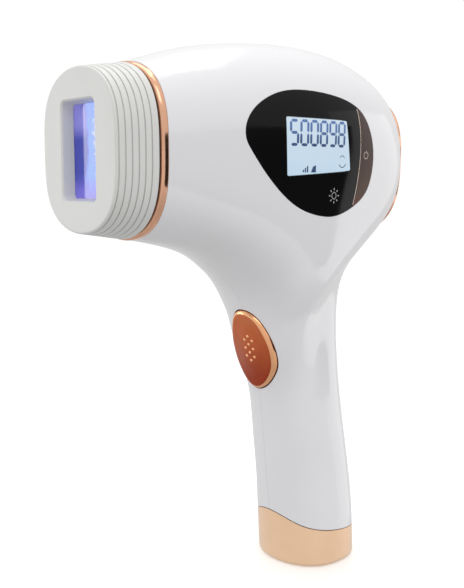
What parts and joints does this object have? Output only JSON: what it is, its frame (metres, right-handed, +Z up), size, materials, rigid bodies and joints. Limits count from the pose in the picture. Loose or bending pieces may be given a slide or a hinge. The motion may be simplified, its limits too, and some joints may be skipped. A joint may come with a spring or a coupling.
{
  "type": "ipl hair remover",
  "caption": "Pistol-shaped light hair removal handset with a lift-off lamp cartridge, display, power button, trigger and rear fan grille.",
  "frame": {"origin": "centre of the handle's flat foot, on the surface it stands on", "axes": "+Z up along the handle, -X the way the treatment window faces, -Y the display side"},
  "size_m": [0.1259, 0.0519, 0.1839],
  "materials": {
    "white_shell": "gloss",
    "cartridge_white": "satin",
    "rose_gold": "satin",
    "foot_gold": "satin metallic",
    "copper": "gloss",
    "black_lens": "gloss",
    "bronze_button": "gloss",
    "lcd": "lit display",
    "filter_glass": "coated",
    "clear_glass": "clear",
    "black_plastic": "matte",
    "grey_plastic": "matte",
    "silicone": "matte",
    "circuit_board": "satin",
    "steel": "plain",
    "aluminium": "polished",
    "brass": "plain",
    "ferrite": "matte",
    "wire": "matte"
  },
  "bodies": {
    "handset": {"left_shell": "white_shell", "right_shell": "white_shell", "foot_cap": "foot_gold", "front_ring": "rose_gold", "seal_ring": "silicone", "rear_ring": "rose_gold", "rear_grille": "white_shell", "shell_screws": "steel", "display_lens": "black_lens", "lcd_pane": "lcd", "lcd_backlight": "grey_plastic", "display_board": "circuit_board", "power_switch": "black_plastic", "trigger_switch": "black_plastic", "trigger_board": "circuit_board", "cartridge_socket": "black_plastic", "socket_contacts": "brass", "fan_frame": "black_plastic", "hv_capacitor": "black_plastic", "capacitor_clip": "grey_plastic", "trigger_transformer": "ferrite", "main_board": "circuit_board", "charge_transformer": "ferrite", "board_capacitors": "black_plastic", "heat_sink": "aluminium", "control_chips": "black_plastic", "board_screws": "steel", "dc_jack": "black_plastic", "dc_jack_pin": "steel", "dc_leads": "wire", "fan_leads": "wire", "lamp_leads": "wire", "display_ribbon": "wire"},
    "cartridge": {"cartridge_shell": "cartridge_white", "filter_glass": "filter_glass", "glass_frame": "grey_plastic", "reflector": "aluminium", "lamp_tube": "clear_glass", "lamp_electrodes": "steel", "lamp_holders": "silicone", "cartridge_base": "grey_plastic", "cartridge_contacts": "brass"},
    "trigger": {"trigger_button": "copper"},
    "power_button": {"power_button": "bronze_button"},
    "fan": {"fan_rotor": "black_plastic"}
  },
  "joints": [
    {"name": "cartridge_pull", "type": "slide", "parent": "handset", "child": "cartridge", "axis": [-1, 0, 0], "range_m": [0, 0.012]},
    {"name": "trigger_press", "type": "slide", "parent": "handset", "child": "trigger", "axis": [0.9703, 0, 0.2419], "range_m": [0, 0.0008], "stiffness_N_per_m": 900},
    {"name": "power_press", "type": "slide", "parent": "handset", "child": "power_button", "axis": [0, 1, 0], "range_m": [0, 0.0005], "stiffness_N_per_m": 900},
    {"name": "fan_spin", "type": "hinge", "parent": "handset", "child": "fan", "pos_m": [0.00695, 0, 0.14564], "axis": [0.9994, 0, -0.0349], "continuous": true}
  ]
}
